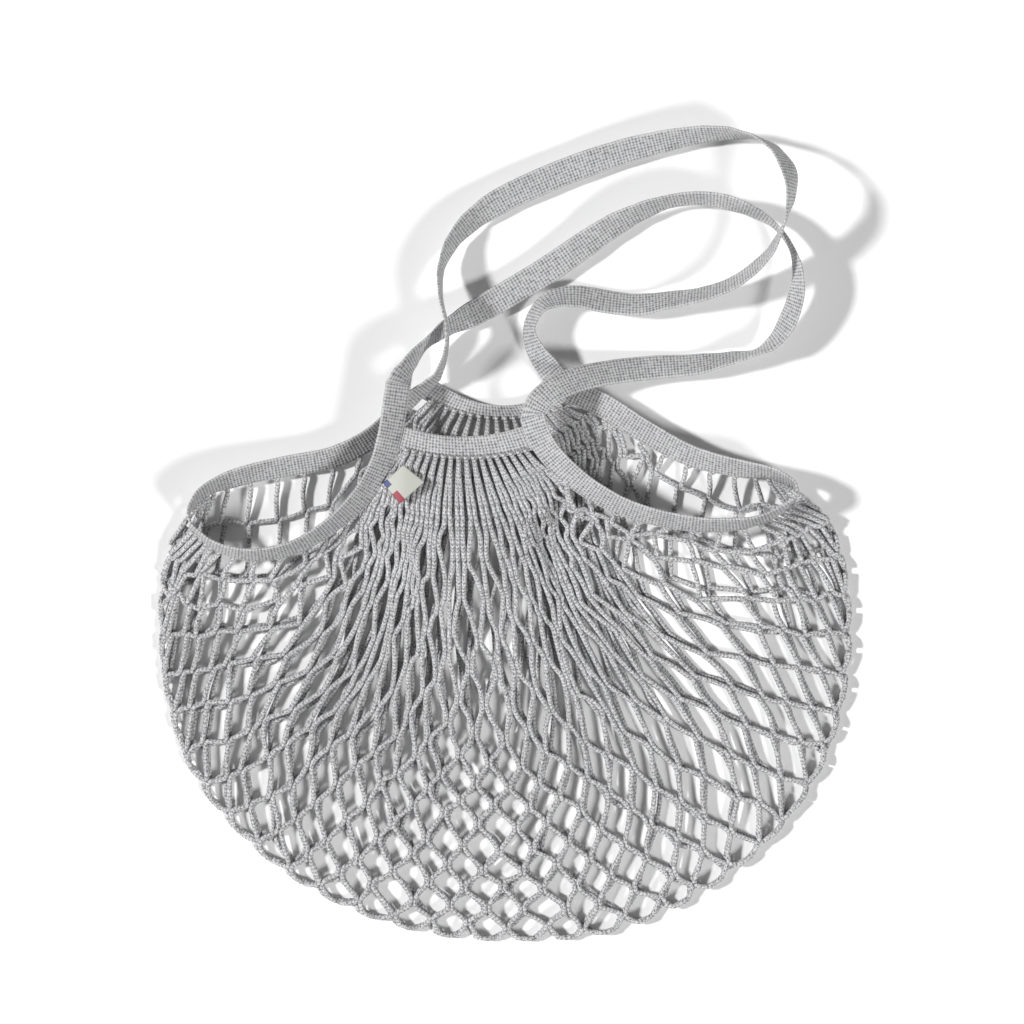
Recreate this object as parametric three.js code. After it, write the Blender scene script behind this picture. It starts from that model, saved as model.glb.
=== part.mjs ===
// A string shopping bag lying empty on its back: a gathered net pouch bound with knitted tape, with two
// looped tape handles. Units are millimetres. +X runs across the bag, +Y from the pouch to the handles and
// +Z up from the floor. The origin is under the middle of the whole bag, on the floor.
import * as THREE from 'three';

// Overall sizes. The neck line is the middle of the front neck band.
const bagWidth = 430;
const netHeight = 310;
const handleReach = 190;
const neckRise = 27;
const handleRise = 45;
const pouchBulge = 8;

// Cord, tape and label sizes.
const cordThickness = 4;
const strandWidth = 5;
const hemWidth = 4;
const tapeWidth = 17;
const tapeThickness = 2;
const bandWidth = 14;
const labelLength = 17;
const labelThickness = 1.2;
const labelTuck = 4;
const labelSlope = 0.2;

// Where things sit along the mouth tapes, from the end of the tape at the neck.
const frontBandDropLeft = 25;
const frontBandDropRight = 4;
const backBandDrop = 2;
const labelDrop = 48;
const labelWidth = 16;

// How far the neck bands sag below the line between their ends.
const frontBandSag = 6;
const backBandSag = 11;

// Gather ribs under the neck bands.
const ribDepth = 0.9;
const ribsPerCell = 4;

// Net cells: the count across the neck doubles at one line, as a netter works two meshes into one.
const cellsAtNeck = 5;
const doublingLine = 4;
const tapeStepsPerLine = 4;
const foldStepsPerCell = 4;

// Clearances between pieces.
const clearance = 0.3;
const edgeClearance = 0.5;
const cornerClearance = 6;

const halfWidth = bagWidth / 2;
const neckLine = (netHeight - handleReach) / 2;
const rimHeight = cordThickness * 1.5 + clearance;
const floorHeight = cordThickness / 2;

// How far the slopes beside the mouth tapes and under the neck run, as shares of the net's two directions.
const cornerShare = 0.05;
const neckShare = 0.3;

// The tape of the left mouth, from the front neck down the front edge, round the corner and back up to the
// back neck. x is a share of half the bag's width, y of the net's height from the neck line and z of the
// neck's rise. roll turns the tape about its run, in degrees: 180 lies flat on the front edge, 270 stands
// on its net side and 360 lies flat on the back edge.
const leftMouthRows = [
  { x: -0.305, y: 0.110, z: 1.00, roll: 205 },
  { x: -0.315, y: 0.064, z: 1.00, roll: 205 },
  { x: -0.330, y: 0.006, z: 1.00, roll: 210 },
  { x: -0.358, y: -0.054, z: 0.93, roll: 215 },
  { x: -0.412, y: -0.114, z: 0.86, roll: 225 },
  { x: -0.504, y: -0.174, z: 0.81, roll: 235 },
  { x: -0.620, y: -0.218, z: 0.78, roll: 240 },
  { x: -0.749, y: -0.228, z: 0.78, roll: 245 },
  { x: -0.856, y: -0.200, z: 0.78, roll: 255 },
  { x: -0.908, y: -0.150, z: 0.72, roll: 270, corner: true },
  { x: -0.865, y: -0.104, z: 0.56, roll: 292 },
  { x: -0.764, y: -0.074, z: 0.46, roll: 312 },
  { x: -0.620, y: -0.052, z: 0.38, roll: 320 },
  { x: -0.490, y: -0.034, z: 0.36, roll: 322 },
  { x: -0.375, y: 0.008, z: 0.37, roll: 320 },
  { x: -0.288, y: 0.070, z: 0.41, roll: 305 },
  { x: -0.197, y: 0.124, z: 0.50, roll: 285 },
];

// The tape of the right mouth, run the same way. Here 0 lies flat on the front edge, -90 stands on its net
// side and -180 lies flat on the back edge.
const rightMouthRows = [
  { x: 0.078, y: 0.044, z: 1.02, roll: -25 },
  { x: 0.092, y: 0.014, z: 1.00, roll: -28 },
  { x: 0.124, y: -0.024, z: 0.96, roll: -32 },
  { x: 0.176, y: -0.062, z: 0.90, roll: -36 },
  { x: 0.251, y: -0.102, z: 0.84, roll: -42 },
  { x: 0.354, y: -0.138, z: 0.80, roll: -50 },
  { x: 0.470, y: -0.160, z: 0.80, roll: -55 },
  { x: 0.605, y: -0.170, z: 0.84, roll: -60 },
  { x: 0.749, y: -0.154, z: 0.92, roll: -72 },
  { x: 0.839, y: -0.100, z: 0.93, roll: -90, corner: true },
  { x: 0.778, y: -0.070, z: 0.76, roll: -112 },
  { x: 0.663, y: -0.056, z: 0.62, roll: -130 },
  { x: 0.533, y: -0.032, z: 0.44, roll: -140 },
  { x: 0.403, y: 0.016, z: 0.36, roll: -145 },
  { x: 0.288, y: 0.066, z: 0.34, roll: -150 },
  { x: 0.202, y: 0.096, z: 0.34, roll: -155 },
  { x: 0.150, y: 0.120, z: 0.36, roll: -158 },
];

// The front handle between the front ends of the two mouth tapes. x is a share of half the bag's width, y
// of the handles' reach above the neck line and z of the handles' rise. A roll of 0 lies flat.
const frontHandleRows = [
  { x: -0.277, y: 0.238, z: 0.54, roll: -58 },
  { x: -0.225, y: 0.313, z: 0.40, roll: -75 },
  { x: -0.167, y: 0.365, z: 0.27, roll: -55 },
  { x: -0.086, y: 0.414, z: 0.18, roll: -22 },
  { x: 0.000, y: 0.470, z: 0.16, roll: -8 },
  { x: 0.115, y: 0.548, z: 0.18, roll: -5 },
  { x: 0.213, y: 0.623, z: 0.20, roll: -12 },
  { x: 0.305, y: 0.692, z: 0.24, roll: -30 },
  { x: 0.389, y: 0.741, z: 0.29, roll: -50 },
  { x: 0.470, y: 0.773, z: 0.33, roll: -65 },
  { x: 0.553, y: 0.783, z: 0.38, roll: -65 },
  { x: 0.634, y: 0.770, z: 0.42, roll: -62 },
  { x: 0.712, y: 0.737, z: 0.44, roll: -72 },
  { x: 0.778, y: 0.688, z: 0.44, roll: -85 },
  { x: 0.821, y: 0.620, z: 0.46, roll: -85 },
  { x: 0.839, y: 0.542, z: 0.46, roll: -72 },
  { x: 0.833, y: 0.463, z: 0.44, roll: -55 },
  { x: 0.810, y: 0.385, z: 0.38, roll: -48 },
  { x: 0.772, y: 0.320, z: 0.32, roll: -60 },
  { x: 0.720, y: 0.284, z: 0.27, roll: -78 },
  { x: 0.643, y: 0.264, z: 0.23, roll: -60 },
  { x: 0.545, y: 0.245, z: 0.18, roll: -38 },
  { x: 0.421, y: 0.235, z: 0.19, roll: -28 },
  { x: 0.303, y: 0.219, z: 0.29, roll: -25 },
  { x: 0.210, y: 0.196, z: 0.45, roll: -20 },
  { x: 0.147, y: 0.166, z: 0.57, roll: -18 },
  { x: 0.104, y: 0.128, z: 0.61, roll: -20 },
];

// The back handle between the back ends of the two mouth tapes, with the same columns.
const backHandleRows = [
  { x: -0.170, y: 0.287, z: 0.52, roll: -85 },
  { x: -0.167, y: 0.365, z: 0.67, roll: -88 },
  { x: -0.184, y: 0.463, z: 0.53, roll: -85 },
  { x: -0.184, y: 0.555, z: 0.38, roll: -78 },
  { x: -0.153, y: 0.640, z: 0.28, roll: -62 },
  { x: -0.098, y: 0.711, z: 0.22, roll: -42 },
  { x: -0.014, y: 0.777, z: 0.18, roll: -22 },
  { x: 0.101, y: 0.839, z: 0.18, roll: -15 },
  { x: 0.216, y: 0.891, z: 0.18, roll: -15 },
  { x: 0.337, y: 0.936, z: 0.20, roll: -25 },
  { x: 0.452, y: 0.969, z: 0.24, roll: -38 },
  { x: 0.548, y: 0.989, z: 0.29, roll: -52 },
  { x: 0.634, y: 0.995, z: 0.38, roll: -66 },
  { x: 0.706, y: 0.982, z: 0.55, roll: -88 },
  { x: 0.767, y: 0.940, z: 0.78, roll: -110 },
  { x: 0.807, y: 0.865, z: 0.95, roll: -126 },
  { x: 0.813, y: 0.786, z: 1.00, roll: -112 },
  { x: 0.798, y: 0.705, z: 0.93, roll: -92 },
  { x: 0.761, y: 0.613, z: 0.71, roll: -76 },
  { x: 0.709, y: 0.551, z: 0.56, roll: -66 },
  { x: 0.643, y: 0.502, z: 0.44, roll: -62 },
  { x: 0.556, y: 0.470, z: 0.33, roll: -58 },
  { x: 0.470, y: 0.454, z: 0.24, roll: -48 },
  { x: 0.380, y: 0.440, z: 0.18, roll: -34 },
  { x: 0.288, y: 0.450, z: 0.18, roll: -30 },
  { x: 0.205, y: 0.467, z: 0.20, roll: -34 },
  { x: 0.135, y: 0.457, z: 0.22, roll: -46 },
  { x: 0.092, y: 0.421, z: 0.26, roll: -62 },
  { x: 0.069, y: 0.356, z: 0.28, roll: -66 },
  { x: 0.086, y: 0.294, z: 0.26, roll: -50 },
  { x: 0.118, y: 0.241, z: 0.22, roll: -35 },
];

// The fold round the bottom of the pouch, from the left mouth corner to the right one: x is a share of half
// the bag's width and y of the net's height.
const foldRows = [
  { x: -0.985, y: -0.250 },
  { x: -1.000, y: -0.370 },
  { x: -0.977, y: -0.520 },
  { x: -0.908, y: -0.660 },
  { x: -0.778, y: -0.780 },
  { x: -0.605, y: -0.880 },
  { x: -0.389, y: -0.955 },
  { x: -0.159, y: -0.994 },
  { x: 0.101, y: -1.000 },
  { x: 0.308, y: -0.984 },
  { x: 0.533, y: -0.920 },
  { x: 0.735, y: -0.820 },
  { x: 0.879, y: -0.700 },
  { x: 0.965, y: -0.560 },
  { x: 1.000, y: -0.400 },
  { x: 0.980, y: -0.240 },
  { x: 0.922, y: -0.150 },
];

// The lines of knots from the end of the gather to the fold, as shares of the run from neck to fold.
const knotLines = [0.10, 0.21, 0.32, 0.43, 0.55, 0.70, 0.85, 1.0];

const lastLine = knotLines.length - 1;
const up = new THREE.Vector3(0, 0, 1);
const stepsPerRow = 3;

function mix(low, high, share) {
  return low + (high - low) * share;
}

function clampShare(value) {
  return Math.min(1, Math.max(0, value));
}

// A point from one row of shares.
function placed(row, height, rise) {
  return new THREE.Vector3(row.x * halfWidth, neckLine + row.y * height, (row.z ?? 0) * rise);
}

// A smooth tape run: its curve, its rolls and the distance of each row along it.
function tapeRun(points, rolls) {
  const curve = new THREE.CatmullRomCurve3(points, false, 'centripetal');
  const divisions = (points.length - 1) * 40;
  curve.arcLengthDivisions = divisions;
  const lengths = curve.getLengths(divisions);
  return { curve, rolls, length: lengths[divisions], distanceOfRow: (row) => lengths[row * 40] };
}

// The tape's place at a distance along its run: its middle, its direction, the direction across it towards
// the net side, and the direction its face points.
function frameAt(run, distance) {
  const share = clampShare(distance / run.length);
  const t = run.curve.getUtoTmapping(share);
  const at = run.curve.getPoint(t);
  const along = run.curve.getTangent(t).normalize();
  const place = t * (run.rolls.length - 1);
  const row = Math.min(Math.floor(place), run.rolls.length - 2);
  const eased = THREE.MathUtils.smoothstep(place - row, 0, 1);
  const roll = THREE.MathUtils.degToRad(mix(run.rolls[row], run.rolls[row + 1], eased));
  const side = along.clone().cross(up).normalize();
  const rise = side.clone().cross(along);
  const across = side.clone().multiplyScalar(Math.cos(roll)).addScaledVector(rise, Math.sin(roll));
  const face = side.clone().multiplyScalar(-Math.sin(roll)).addScaledVector(rise, Math.cos(roll));
  return { at, along, across, face };
}

// A closed solid from its points and triangles.
function solid(points, triangles) {
  const geometry = new THREE.BufferGeometry();
  geometry.setAttribute('position', new THREE.Float32BufferAttribute(points.flatMap((p) => p.toArray()), 3));
  geometry.setIndex(triangles.flat());
  geometry.computeVertexNormals();
  return geometry;
}

// A strip lofted through four-cornered sections, closed at both ends.
function loft(sections) {
  const points = sections.flat();
  const triangles = [[0, 1, 2], [0, 2, 3]];
  for (let i = 0; i < sections.length - 1; i += 1) {
    for (let k = 0; k < 4; k += 1) {
      const a = i * 4 + k;
      const b = i * 4 + ((k + 1) % 4);
      triangles.push([a, b + 4, b], [a, a + 4, b + 4]);
    }
  }
  const end = points.length - 4;
  triangles.push([end, end + 2, end + 1], [end, end + 3, end + 2]);
  return solid(points, triangles);
}

// The four corners of a flat strip's section, from the middles of its two edges.
function stripSection(nearEdge, farEdge, face, thickness) {
  const half = thickness / 2;
  return [
    nearEdge.clone().addScaledVector(face, half),
    nearEdge.clone().addScaledVector(face, -half),
    farEdge.clone().addScaledVector(face, -half),
    farEdge.clone().addScaledVector(face, half),
  ];
}

function tapeSection(frame) {
  const nearEdge = frame.at.clone().addScaledVector(frame.across, -tapeWidth / 2);
  const farEdge = frame.at.clone().addScaledVector(frame.across, tapeWidth / 2);
  return stripSection(nearEdge, farEdge, frame.face, tapeThickness);
}

function tapeSections(run, steps) {
  const sections = [];
  for (let i = 0; i <= steps; i += 1) {
    sections.push(tapeSection(frameAt(run, (run.length * i) / steps)));
  }
  return sections;
}

// A mouth tape: its run and where its corner lies along it.
function mouthTape(rows) {
  const run = tapeRun(rows.map((row) => placed(row, netHeight, neckRise)), rows.map((row) => row.roll));
  const corner = run.distanceOfRow(rows.findIndex((row) => row.corner));
  return { run, corner, sections: tapeSections(run, rows.length * stepsPerRow) };
}

// The end of one tape, moved on by a clearance and turned to lead into the next tape.
function leadFrame(frame, direction) {
  const along = frame.along.clone().multiplyScalar(direction);
  return { ...frame, at: frame.at.clone().addScaledVector(along, clearance), along };
}

// A handle between two tape ends. Its first and last sections copy the ends that it is sewn to.
function handleSections(rows, startFrame, startRoll, endFrame, endRoll) {
  const points = [startFrame.at, ...rows.map((row) => placed(row, handleReach, handleRise)), endFrame.at];
  const run = tapeRun(points, [startRoll, ...rows.map((row) => row.roll), endRoll]);
  const sections = tapeSections(run, points.length * stepsPerRow);
  sections[0] = tapeSection(startFrame);
  sections[sections.length - 1] = tapeSection(endFrame);
  return sections;
}

// A place just off the net side of a mouth tape, with the direction that the net faces there.
function netEdge(tape, distance, facing) {
  const frame = frameAt(tape.run, distance);
  const at = frame.at.clone().addScaledVector(frame.across, tapeWidth / 2 + edgeClearance);
  return { at, out: frame.face.clone().multiplyScalar(facing) };
}

// One layer of the bag: how to find its left and right edges by the distance from the neck, and how far it
// is along each of them to the corner.
function frontLayer(left, right) {
  return {
    leftDrop: frontBandDropLeft,
    rightDrop: frontBandDropRight,
    sag: frontBandSag,
    leftReach: left.corner - cornerClearance,
    rightReach: right.corner - cornerClearance,
    leftEdge: (drop) => netEdge(left, drop, -1),
    rightEdge: (drop) => netEdge(right, drop, 1),
  };
}

function backLayer(left, right) {
  return {
    leftDrop: backBandDrop,
    rightDrop: backBandDrop,
    sag: backBandSag,
    leftReach: left.run.length - left.corner - cornerClearance,
    rightReach: right.run.length - right.corner - cornerClearance,
    leftEdge: (drop) => netEdge(left, left.run.length - drop, 1),
    rightEdge: (drop) => netEdge(right, right.run.length - drop, -1),
  };
}

// A line across the neck, a given drop below the top of the band.
function neckCurve(layer, drop) {
  const left = layer.leftEdge(layer.leftDrop + drop);
  const right = layer.rightEdge(layer.rightDrop + drop);
  return (u) => {
    const at = left.at.clone().lerp(right.at, u);
    at.y -= layer.sag * 4 * u * (1 - u);
    return { at, out: left.out.clone().lerp(right.out, u).lerp(up, 4 * u * (1 - u)).normalize() };
  };
}

// The knitted band that holds the gathers at a neck.
function neckBand(layer) {
  const top = neckCurve(layer, 0);
  const bottom = neckCurve(layer, bandWidth);
  const steps = 20;
  const sections = [];
  for (let i = 0; i <= steps; i += 1) {
    const near = top(i / steps);
    const far = bottom(i / steps);
    sections.push(stripSection(near.at, far.at, near.out, tapeThickness));
  }
  return loft(sections);
}

// The surface of one net layer. u runs from the left tape to the right one and t from the neck to the fold.
// A Coons patch spans the four edges. lift adds the layer's own height between them.
function layerSurface(layer, lift) {
  const startDrop = bandWidth + edgeClearance;
  const neck = neckCurve(layer, startDrop);
  const left = (t) => layer.leftEdge(mix(layer.leftDrop + startDrop, layer.leftReach, t));
  const right = (t) => layer.rightEdge(mix(layer.rightDrop + startDrop, layer.rightReach, t));
  const leftCorner = left(1).at;
  const rightCorner = right(1).at;
  const foldPoints = foldRows.map((row) => placed(row, netHeight, 0));
  const fold = new THREE.CatmullRomCurve3(
    [leftCorner.clone().setZ(0), ...foldPoints, rightCorner.clone().setZ(0)],
    false,
    'centripetal',
  );
  const rim = (u) => {
    const at = fold.getPointAt(clampShare(u));
    at.z = mix(leftCorner.z, rightCorner.z, u);
    return at;
  };
  const patch = (u, t) => {
    const at = neck(u).at.multiplyScalar(1 - t).addScaledVector(rim(u), t);
    at.addScaledVector(left(t).at, 1 - u).addScaledVector(right(t).at, u);
    at.addScaledVector(neck(0).at, -(1 - u) * (1 - t)).addScaledVector(neck(1).at, -u * (1 - t));
    at.addScaledVector(rim(0), -(1 - u) * t).addScaledVector(rim(1), -u * t);
    return lift(at, u, t);
  };
  return (u, t) => {
    if (u === 0) {
      return left(t);
    }
    if (u === 1) {
      return right(t);
    }
    const at = patch(u, t);
    const step = 0.01;
    const acrossLow = patch(Math.max(0, u - step), t);
    const acrossHigh = patch(Math.min(1, u + step), t);
    const downLow = patch(u, Math.max(0, t - step));
    const downHigh = patch(u, Math.min(1, t + step));
    const out = downHigh.sub(downLow).cross(acrossHigh.sub(acrossLow)).normalize();
    return { at, out: t === 0 ? neck(u).out : out };
  };
}

// How far a place is from the mouth tapes, from 0 at them to 1 over the given share of the width.
function awayFromTapes(u, share) {
  return clampShare(u / share) * clampShare((1 - u) / share);
}

// The front layer comes down to the rim along the fold and bulges over the hollow pouch.
function liftFront(at, u, t) {
  const fall = THREE.MathUtils.smoothstep(t, 0.3, 1) * awayFromTapes(u, cornerShare);
  at.z = mix(at.z, rimHeight, fall) + pouchBulge * Math.sin(Math.PI * t) * Math.sin(Math.PI * u);
  return at;
}

// The back layer lies flat on the floor away from the tapes and the neck.
function liftBack(at, u, t) {
  at.z = mix(at.z, floorHeight, clampShare(t / neckShare) * awayFromTapes(u, cornerShare));
  return at;
}

// The points and cells of one net layer.
function netCells(surface) {
  const points = [];
  const known = new Map();
  const cells = [];
  const ribCount = cellsAtNeck * ribsPerCell * 2;

  const point = (u, t) => {
    const key = `${u.toFixed(5)} ${t.toFixed(5)}`;
    if (!known.has(key)) {
      const place = surface(u, t);
      const column = Math.round(u * ribCount);
      if (t <= knotLines[0] && u > 0 && u < 1) {
        place.at.z += column % 2 === 0 ? ribDepth / 2 : -ribDepth / 2;
      }
      known.set(key, points.length);
      points.push(place);
    }
    return known.get(key);
  };

  const countAt = (line) => (line < doublingLine ? cellsAtNeck : cellsAtNeck * 2);
  const knot = (column, line, count = countAt(line)) => point(column / count, knotLines[line]);
  const downTape = (u, fromLine, toLine) => {
    const steps = Math.abs(toLine - fromLine) * tapeStepsPerLine;
    const chain = [];
    for (let i = 0; i <= steps; i += 1) {
      chain.push(point(u, mix(knotLines[fromLine], knotLines[toLine], i / steps)));
    }
    return chain;
  };
  const alongLine = (fromColumn, toColumn, line, steps) => {
    const chain = [];
    for (let i = 0; i <= steps; i += 1) {
      chain.push(point(mix(fromColumn, toColumn, i / steps) / countAt(line), knotLines[line]));
    }
    return chain;
  };
  const cell = (...sides) => cells.push({ sides, open: true });
  const diamond = (top, left, bottom, right) => {
    cell([top, left], [left, bottom], [bottom, right], [right, top]);
  };

  // The gather: solid ribs from the band down to the first line of knots.
  const gatherRows = 2;
  for (let row = 0; row < gatherRows; row += 1) {
    const low = (knotLines[0] * row) / gatherRows;
    const high = (knotLines[0] * (row + 1)) / gatherRows;
    for (let k = 0; k < ribCount; k += 1) {
      const a = point(k / ribCount, low);
      const b = point(k / ribCount, high);
      const c = point((k + 1) / ribCount, high);
      const d = point((k + 1) / ribCount, low);
      cells.push({ sides: [[a, b], [b, c], [c, d], [d, a]], open: false });
    }
  }

  // Half cells under the gather.
  for (let k = 0; k < cellsAtNeck; k += 1) {
    const under = knot(k + 0.5, 1);
    const chain = alongLine(k + 1, k, 0, ribsPerCell * 2);
    cell(chain, [chain[chain.length - 1], under], [under, chain[0]]);
  }

  // Diamonds centred on each line of knots between the gather and the fold.
  for (let line = 1; line < lastLine; line += 1) {
    const count = countAt(line);
    if (line === doublingLine) {
      for (let k = 0; k < cellsAtNeck; k += 1) {
        const top = knot(k + 0.5, line - 1);
        const middle = knot(2 * k + 1, line);
        diamond(top, knot(2 * k, line), knot(2 * k + 0.5, line + 1), middle);
        diamond(top, middle, knot(2 * k + 1.5, line + 1), knot(2 * k + 2, line));
      }
    } else if (line % 2 === 0) {
      for (let k = 0; k < count; k += 1) {
        diamond(knot(k + 0.5, line - 1), knot(k, line), knot(k + 0.5, line + 1), knot(k + 1, line));
      }
    } else {
      for (let k = 1; k < count; k += 1) {
        const above = point(k / count, knotLines[line - 1]);
        const below = point(k / count, knotLines[line + 1]);
        diamond(above, knot(k - 0.5, line), below, knot(k + 0.5, line));
      }
      const leftChain = downTape(0, line - 1, line + 1);
      const leftKnot = knot(0.5, line);
      cell(leftChain, [leftChain[leftChain.length - 1], leftKnot], [leftKnot, leftChain[0]]);
      const rightChain = downTape(1, line + 1, line - 1);
      const rightKnot = knot(count - 0.5, line);
      cell([rightChain[rightChain.length - 1], rightKnot], [rightKnot, rightChain[0]], rightChain);
    }
  }

  // Half cells along the fold, and the two at the mouth corners.
  const foldCount = countAt(lastLine);
  for (let k = 1; k < foldCount; k += 1) {
    const above = knot(k, lastLine - 1);
    const chain = alongLine(k - 0.5, k + 0.5, lastLine, foldStepsPerCell);
    cell([above, chain[0]], chain, [chain[chain.length - 1], above]);
  }
  const leftChain = downTape(0, lastLine - 1, lastLine);
  const leftFold = alongLine(0, 0.5, lastLine, foldStepsPerCell);
  cell(leftChain, leftFold, [leftFold[leftFold.length - 1], leftChain[0]]);
  const rightChain = downTape(1, lastLine, lastLine - 1);
  const rightFold = alongLine(foldCount - 0.5, foldCount, lastLine, foldStepsPerCell);
  cell([rightChain[rightChain.length - 1], rightFold[0]], rightFold, rightChain);
  return { points, cells };
}

// The inner corners of an open cell, a strand's half width or a hem in from its sides.
function insetCorners(points, sides, insets) {
  const corners = sides.map((side) => points[side[0]].at);
  const count = corners.length;
  const inner = corners.map((corner, k) => {
    const toNext = corners[(k + 1) % count].clone().sub(corner).normalize();
    const toLast = corners[(k + count - 1) % count].clone().sub(corner).normalize();
    const sine = toNext.clone().cross(toLast).length();
    const shift = toNext.clone().multiplyScalar(insets[(k + count - 1) % count]);
    shift.addScaledVector(toLast, insets[k]).divideScalar(sine);
    return corner.clone().add(shift);
  });
  const stays = inner.every((corner, k) => {
    const run = inner[(k + 1) % count].clone().sub(corner);
    return run.dot(corners[(k + 1) % count].clone().sub(corners[k])) > 0;
  });
  return stays ? inner : null;
}

// The pierced plate of one net layer: every open cell is cut through.
function piercedPlate({ points, cells }) {
  const places = [...points];
  const faces = [];
  const walls = [];
  const directed = new Set();
  for (const { sides } of cells) {
    for (const side of sides) {
      for (let i = 0; i < side.length - 1; i += 1) {
        directed.add(`${side[i]} ${side[i + 1]}`);
      }
    }
  }
  const isHem = (side) => !directed.has(`${side[1]} ${side[0]}`);

  for (const { sides, open } of cells) {
    const insets = sides.map((side) => (isHem(side) ? hemWidth : strandWidth / 2));
    const inner = open ? insetCorners(points, sides, insets) : null;
    if (inner) {
      const ids = inner.map((at, k) => {
        places.push({ at, out: points[sides[k][0]].out });
        return places.length - 1;
      });
      sides.forEach((side, k) => {
        const near = ids[k];
        const far = ids[(k + 1) % ids.length];
        const middle = Math.ceil((side.length - 1) / 2);
        for (let i = 0; i < side.length - 1; i += 1) {
          faces.push([side[i], side[i + 1], i < middle ? near : far]);
        }
        faces.push([side[middle], far, near]);
        walls.push([far, near]);
      });
    } else {
      const ring = sides.flatMap((side) => side.slice(0, -1));
      for (let i = 1; i < ring.length - 1; i += 1) {
        faces.push([ring[0], ring[i], ring[i + 1]]);
      }
    }
    for (const side of sides) {
      if (isHem(side)) {
        for (let i = 0; i < side.length - 1; i += 1) {
          walls.push([side[i], side[i + 1]]);
        }
      }
    }
  }

  const vertices = [];
  for (const { at, out } of places) {
    vertices.push(at.clone().addScaledVector(out, cordThickness / 2));
    vertices.push(at.clone().addScaledVector(out, -cordThickness / 2));
  }
  const triangles = [];
  for (const [a, b, c] of faces) {
    triangles.push([2 * a, 2 * b, 2 * c], [2 * a + 1, 2 * c + 1, 2 * b + 1]);
  }
  for (const [a, b] of walls) {
    triangles.push([2 * a, 2 * a + 1, 2 * b + 1], [2 * a, 2 * b + 1, 2 * b]);
  }
  return solid(vertices, triangles);
}

// The small label, sewn flat to the face of the left tape and lying over the gather.
function sewnLabel(tape) {
  const half = tapeThickness / 2 + clearance + labelThickness / 2;
  const sections = [labelDrop, labelDrop + labelWidth].map((distance) => {
    const frame = frameAt(tape.run, distance);
    const sewn = frame.at.clone().addScaledVector(frame.across, tapeWidth / 2 - labelTuck);
    sewn.addScaledVector(frame.face, -half);
    const reach = frame.across.clone().setZ(0).normalize().setZ(labelSlope).normalize();
    const free = sewn.clone().addScaledVector(reach, labelLength);
    const face = frame.along.clone().cross(reach).normalize();
    return stripSection(free, sewn, face, labelThickness);
  });
  return loft(sections);
}

const netYarn = new THREE.MeshStandardMaterial({ color: 0xb9b9ba, roughness: 0.9, metalness: 0 });
const tapeYarn = new THREE.MeshStandardMaterial({ color: 0xc4c4c5, roughness: 0.88, metalness: 0 });
const labelSatin = new THREE.MeshStandardMaterial({ color: 0xe9e6df, roughness: 0.6, metalness: 0 });

const bag = new THREE.Group();

function addPiece(name, geometry, material) {
  const mesh = new THREE.Mesh(geometry, material);
  mesh.name = name;
  bag.add(mesh);
}

const leftTape = mouthTape(leftMouthRows);
const rightTape = mouthTape(rightMouthRows);
const front = frontLayer(leftTape, rightTape);
const back = backLayer(leftTape, rightTape);

addPiece('net_front', piercedPlate(netCells(layerSurface(front, liftFront))), netYarn);
addPiece('net_back', piercedPlate(netCells(layerSurface(back, liftBack))), netYarn);
addPiece('front_neck_band', neckBand(front), tapeYarn);
addPiece('back_neck_band', neckBand(back), tapeYarn);
addPiece('left_mouth_tape', loft(leftTape.sections), tapeYarn);
addPiece('right_mouth_tape', loft(rightTape.sections), tapeYarn);

// A handle's roll at an end follows from the roll of the mouth tape that it leads into.
const leftStart = leadFrame(frameAt(leftTape.run, 0), -1);
const rightStart = leadFrame(frameAt(rightTape.run, 0), -1);
const leftEnd = leadFrame(frameAt(leftTape.run, leftTape.run.length), 1);
const rightEnd = leadFrame(frameAt(rightTape.run, rightTape.run.length), 1);
const lastRoll = (rows) => rows[rows.length - 1].roll;
const frontHandle = handleSections(
  frontHandleRows,
  leftStart,
  180 - leftMouthRows[0].roll,
  rightStart,
  rightMouthRows[0].roll,
);
const backHandle = handleSections(
  backHandleRows,
  leftEnd,
  lastRoll(leftMouthRows) - 360,
  rightEnd,
  -180 - lastRoll(rightMouthRows),
);
addPiece('front_handle', loft(frontHandle), tapeYarn);
addPiece('back_handle', loft(backHandle), tapeYarn);
addPiece('sewn_label', sewnLabel(leftTape), labelSatin);

export default bag;
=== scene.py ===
"""A string shopping bag lying empty on a pale floor: a knotless cotton net bound with knitted tape.

Sizes are in metres. +X runs across the bag, +Y from the pouch to the handles and +Z up from the floor.
"""

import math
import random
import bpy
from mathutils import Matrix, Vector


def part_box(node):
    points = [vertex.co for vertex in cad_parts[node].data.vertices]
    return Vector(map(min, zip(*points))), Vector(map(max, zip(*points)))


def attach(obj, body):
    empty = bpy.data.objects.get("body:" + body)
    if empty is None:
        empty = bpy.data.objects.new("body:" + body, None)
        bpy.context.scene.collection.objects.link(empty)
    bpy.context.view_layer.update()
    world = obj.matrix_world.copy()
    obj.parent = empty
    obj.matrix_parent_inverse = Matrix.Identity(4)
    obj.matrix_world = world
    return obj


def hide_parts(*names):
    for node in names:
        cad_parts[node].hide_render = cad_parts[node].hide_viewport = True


bl_info = {
    "name": "String Shopping Bag",
    "version": (1, 0, 0),
    "blender": (4, 5, 0),
    "location": "3D View > Sidebar > String Bag",
    "description": "Builds the cords, knitted tapes and label of a string shopping bag",
    "category": "Object",
}

import bmesh
import bpy
import numpy as np
from mathutils import Matrix, Vector

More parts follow.
